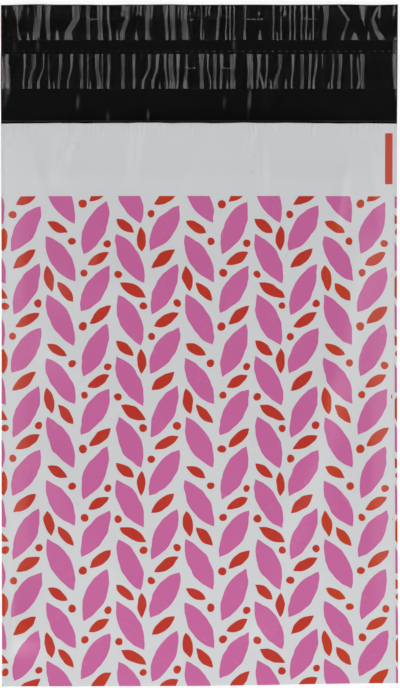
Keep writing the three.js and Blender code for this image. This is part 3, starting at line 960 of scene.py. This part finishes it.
# Clear hot-melt glue with a faint amber tint
def hot_melt():
    material, tree = finish_material("hot_melt_glue", 0.2, 1.25)
    place = tree.place("place")
    cloud = tree.noise(place, 0.3, 4.0)
    tree.shade("Base Color", tree.mix(cloud, colour(GLUE_TINTS[0]), colour(GLUE_TINTS[1])))
    tree.shade("Transmission Weight", 1.0)
    drag = tree.noise(tree.vector("MULTIPLY", place, (0.25, 1.6, 0.0)), 1.0, 3.0)
    tree.shade("Normal", tree.bump(drag, 0.00003))
    tree.shade("Roughness", tree.ramp(cloud, 0.3, 0.7, 0.08, 0.15))
    return material


# Build and dress the pieces
outside = printed_film()
inside = black_film()
web = build_web()
web.data.materials.append(outside)
web.data.materials.append(inside)
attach(web, "root")
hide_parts("pouch_film")

clear = liner_film("release_film_clear", 0.09, 1.46)
pressed = liner_film("release_film_pressed", 0.12, 1.36)
ship_folds = (SHIP_PUCKERS, SHIP_BENT, SHIP_SHORT)
ship_liner = build_liner("ship_liner_film", SHIP_LINER_Y, *ship_folds, narrow=1.04,
                         slack_above=0.07, seed=101)
return_folds = (RETURN_PUCKERS, RETURN_BENT, RETURN_SHORT)
return_liner = build_liner("return_liner_film", RETURN_LINER_Y, *return_folds, narrow=0.82,
                           slack_above=0.01, seed=202)
for liner, node in ((ship_liner, "ship_liner"), (return_liner, "return_liner")):
    liner.data.materials.append(clear)
    liner.data.materials.append(pressed)
    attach(liner, "root")
    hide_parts(node)

glue = hot_melt()
ship_glue = build_glue("ship_adhesive_stripe", SHIP_LINER_Y, 61)
return_glue = build_glue("return_adhesive_stripe", RETURN_LINER_Y, 62)
for stripe, node in ((ship_glue, "ship_adhesive"), (return_glue, "return_adhesive")):
    stripe.data.materials.append(glue)
    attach(stripe, "root")
    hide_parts(node)


# Floor, lights, world and camera


# White to the camera and in reflections, and a plain pale floor under the lights
def studio_floor():
    mesh = bpy.data.meshes.new("floor")
    corners = [(x * FLOOR_HALF, y * FLOOR_HALF, 0) for x, y in ((-1, -1), (1, -1), (1, 1), (-1, 1))]
    mesh.from_pydata(corners, [], [(0, 1, 2, 3)])
    made = bpy.data.objects.new("floor", mesh)
    made.location.z = -FLOOR_DROP
    bpy.context.scene.collection.objects.link(made)
    material = bpy.data.materials.new("floor_white")
    tree = Tree(material)
    tree.nodes.remove(tree.shader)
    output = tree.nodes["Material Output"]
    diffuse = tree.node("ShaderNodeBsdfDiffuse", {"Color": colour(FLOOR_COLOUR)})
    glow = tree.node("ShaderNodeEmission", {"Color": colour(WHITE), "Strength": 1.0})
    path = tree.node("ShaderNodeLightPath")
    seen = tree.math("MAXIMUM", path.outputs["Is Camera Ray"], path.outputs["Is Glossy Ray"])
    seen = tree.math("MAXIMUM", seen, path.outputs["Is Transmission Ray"])
    share = tree.math("MULTIPLY", seen, FLOOR_GLOW)
    mixed = tree.node("ShaderNodeMixShader", {0: share, 1: diffuse.outputs[0], 2: glow.outputs[0]})
    tree.put(output.inputs["Surface"], mixed.outputs[0])
    mesh.materials.append(material)


# A soft light that faces the bag, whose power follows from its size and radiance
def strip_light(name, place, size, radiance):
    wide, long = size
    data = bpy.data.lights.new(name, "AREA")
    data.shape = "RECTANGLE"
    data.size = long
    data.size_y = wide
    data.energy = radiance * math.pi * wide * long
    made = bpy.data.objects.new(name, data)
    made.location = place
    made.rotation_euler = (Vector(AIM) - Vector(place)).to_track_quat("-Z", "Y").to_euler()
    made.visible_camera = False
    bpy.context.scene.collection.objects.link(made)


# World: white where the camera sees it, and a sky that fades to nearly dark overhead
def studio_world():
    world = bpy.data.worlds.new("studio")
    bpy.context.scene.world = world
    world.use_nodes = True
    nodes = world.node_tree.nodes
    links = world.node_tree.links
    back = nodes["Background"]
    place = nodes.new("ShaderNodeTexCoord")
    split = nodes.new("ShaderNodeSeparateXYZ")
    links.new(place.outputs["Generated"], split.inputs[0])
    fade = nodes.new("ShaderNodeMapRange")
    fade.inputs["From Min"].default_value = SKY_FADE[0]
    fade.inputs["From Max"].default_value = SKY_FADE[1]
    fade.inputs["To Min"].default_value = 1.0
    fade.inputs["To Max"].default_value = ZENITH
    links.new(split.outputs[2], fade.inputs["Value"])
    path = nodes.new("ShaderNodeLightPath")
    white = nodes.new("ShaderNodeMath")
    white.operation = "MAXIMUM"
    links.new(fade.outputs["Result"], white.inputs[0])
    links.new(path.outputs["Is Camera Ray"], white.inputs[1])
    links.new(white.outputs[0], back.inputs["Strength"])
    back.inputs["Color"].default_value = colour(WHITE)


# Straight above the bag, as the photo looks at it
def place_camera():
    data = bpy.data.cameras.new("camera")
    data.sensor_fit = "VERTICAL"
    data.sensor_height = SENSOR
    data.lens = LENS
    data.clip_start = 0.05
    camera = bpy.data.objects.new("camera", data)
    camera.location = (FRAME_MIDDLE[0], FRAME_MIDDLE[1], FRAME_HEIGHT * LENS / SENSOR)
    bpy.context.scene.collection.objects.link(camera)
    bpy.context.scene.camera = camera


studio_floor()
side_x = SIDE_FAR * math.sin(SIDE_ANGLE)
side_z = SIDE_FAR * math.cos(SIDE_ANGLE)
strip_light("side_strip_left", (-side_x, 0.0, side_z), SIDE_STRIP, LEFT_RADIANCE)
strip_light("side_strip_right", (side_x, 0.0, side_z), SIDE_STRIP, RIGHT_RADIANCE)
strip_light("front_panel", FRONT_PLACE, FRONT_PANEL, FRONT_RADIANCE)
studio_world()
place_camera()

bpy.context.scene.view_settings.view_transform = "Standard"
